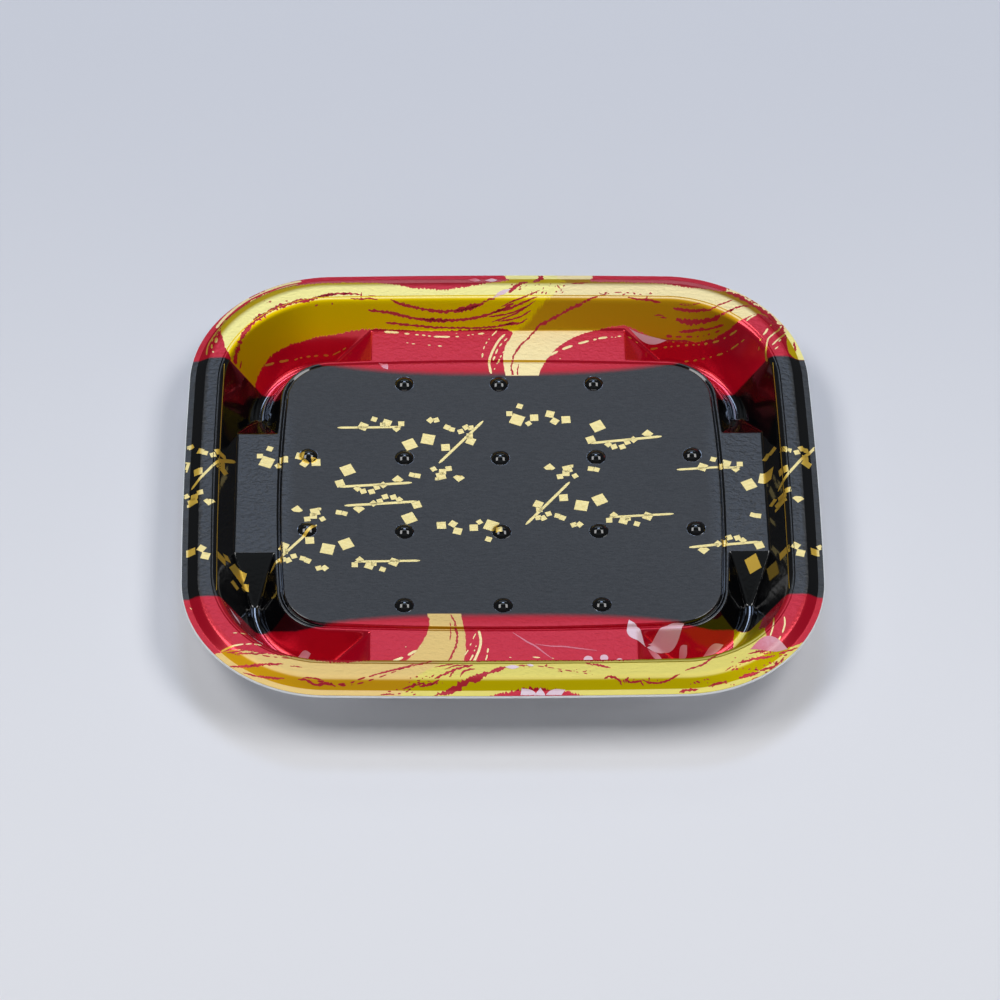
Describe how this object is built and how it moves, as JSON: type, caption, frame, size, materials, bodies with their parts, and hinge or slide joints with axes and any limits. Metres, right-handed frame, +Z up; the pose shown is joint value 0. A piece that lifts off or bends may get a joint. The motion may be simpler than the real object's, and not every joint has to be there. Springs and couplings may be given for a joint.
{
  "type": "bento tray",
  "caption": "Shallow pressed food tray with a raised, dished floor, moulded domes, side ledges, V-shaped corner channels and a flat rim.",
  "frame": {"origin": "middle of the tray, on the surface that it stands on", "axes": "+X along the long sides, +Y along the short sides, +Z up out of the open side"},
  "size_m": [0.1958, 0.1706, 0.0199],
  "materials": {
    "white_foam": "fine closed-cell foam with a soft sheen",
    "printed_film": "glossy printed film, black in the middle with gold flecks, crimson and gold towards the ends"
  },
  "bodies": {
    "root": {"foam_tray": "white_foam", "printed_film": "printed_film"}
  },
  "joints": []
}
